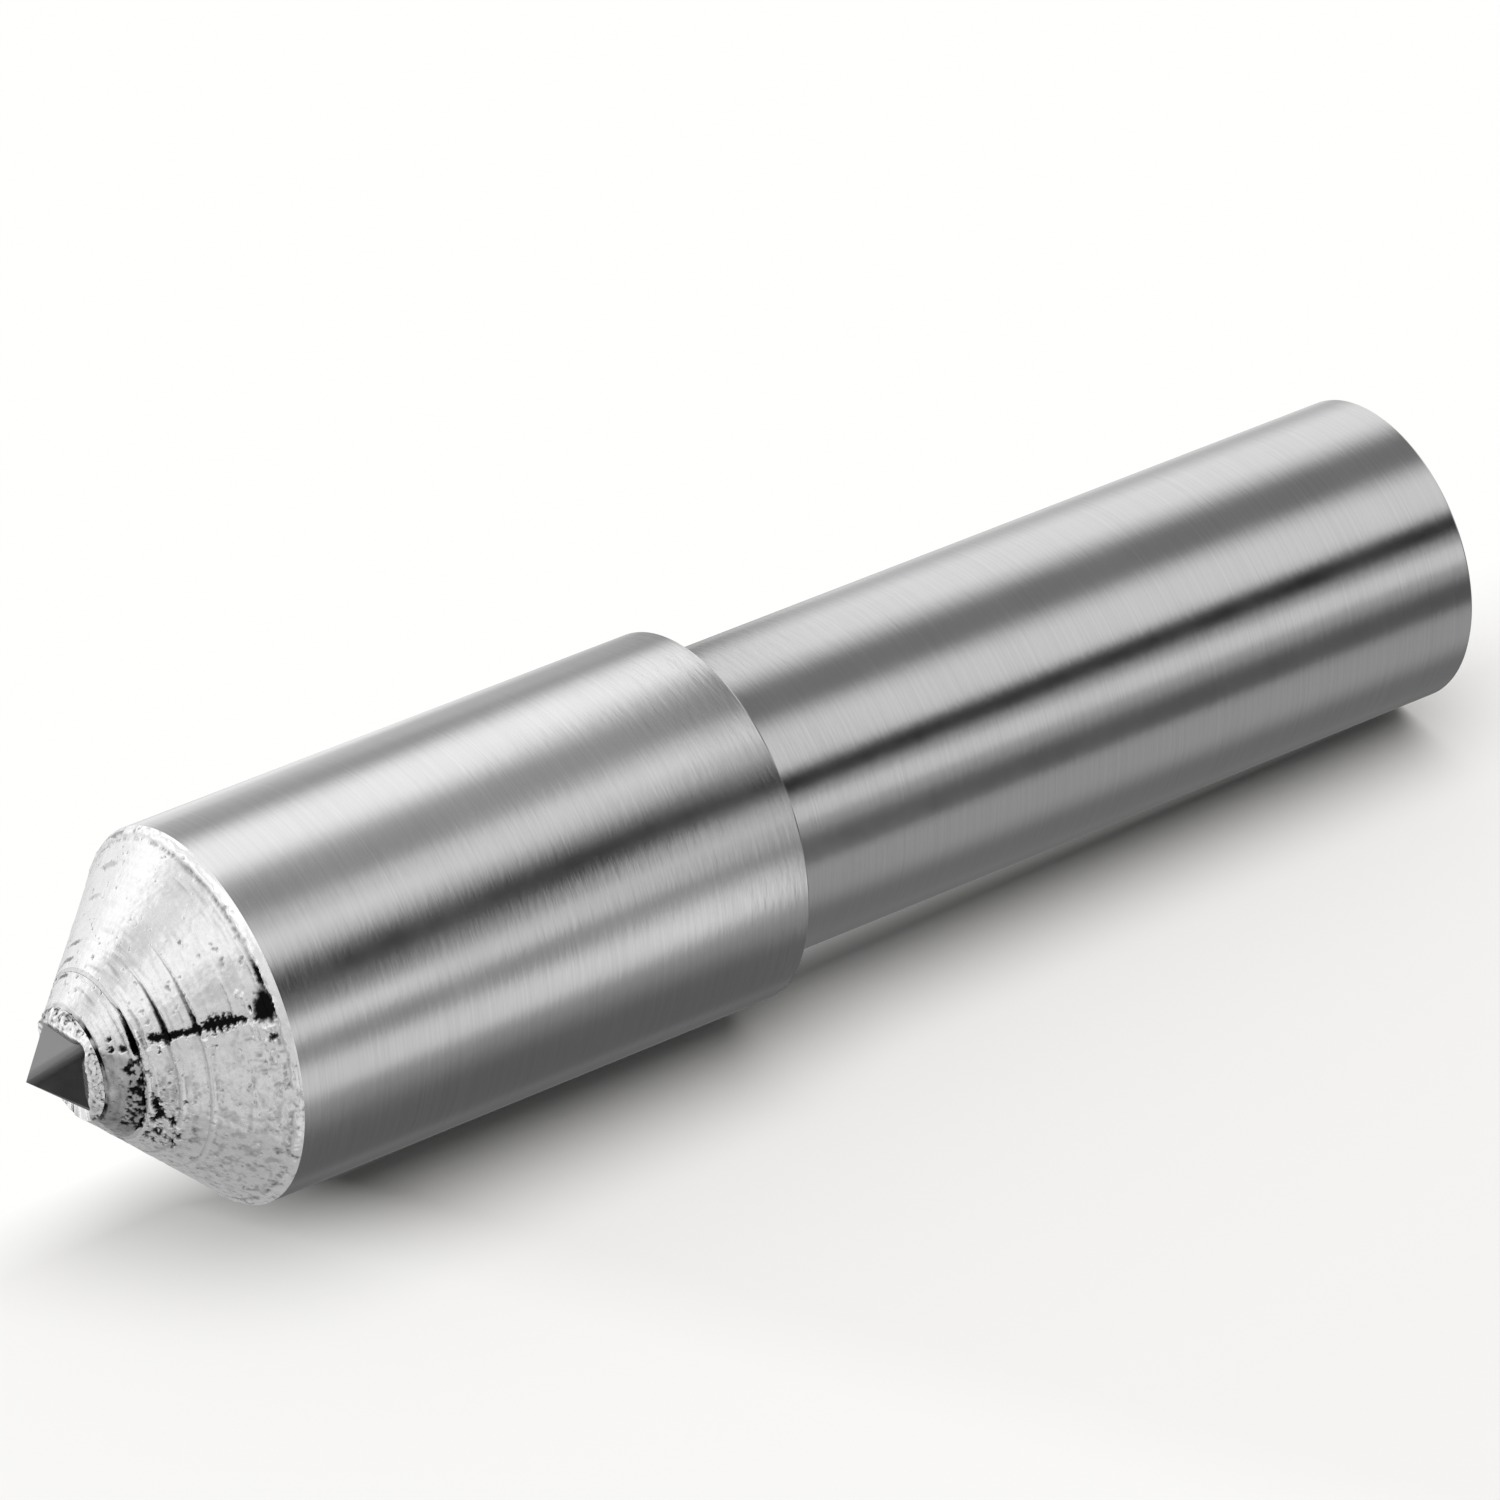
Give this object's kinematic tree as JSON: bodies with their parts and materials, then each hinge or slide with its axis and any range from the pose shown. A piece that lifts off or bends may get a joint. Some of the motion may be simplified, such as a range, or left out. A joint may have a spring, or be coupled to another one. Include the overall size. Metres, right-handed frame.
{
  "type": "diamond wheel dresser",
  "caption": "Stepped steel tool with a turned conical nose that holds an octahedral diamond point, for truing and dressing grinding wheels.",
  "frame": {"origin": "middle of the shank's flat end face, on the tool's axis", "axes": "+Z along the tool's axis, from the shank's end towards the diamond point; -Y is the side that the picture's camera looks from; +X completes the right-handed frame"},
  "size_m": [0.012, 0.012, 0.0507],
  "materials": {
    "holder_steel": "satin ground steel on shank and head, rough bright turned steel on the cone",
    "sintered_matrix": "rough, pitted sintered metal",
    "braze": "dull silver braze",
    "solder": "rough, speckled silver solder",
    "diamond_crystal": "polished dark grey industrial diamond"
  },
  "bodies": {
    "root": {"holder": "holder_steel", "matrix_insert": "sintered_matrix", "insert_braze": "braze", "setting_solder": "solder", "diamond": "diamond_crystal"}
  },
  "joints": []
}
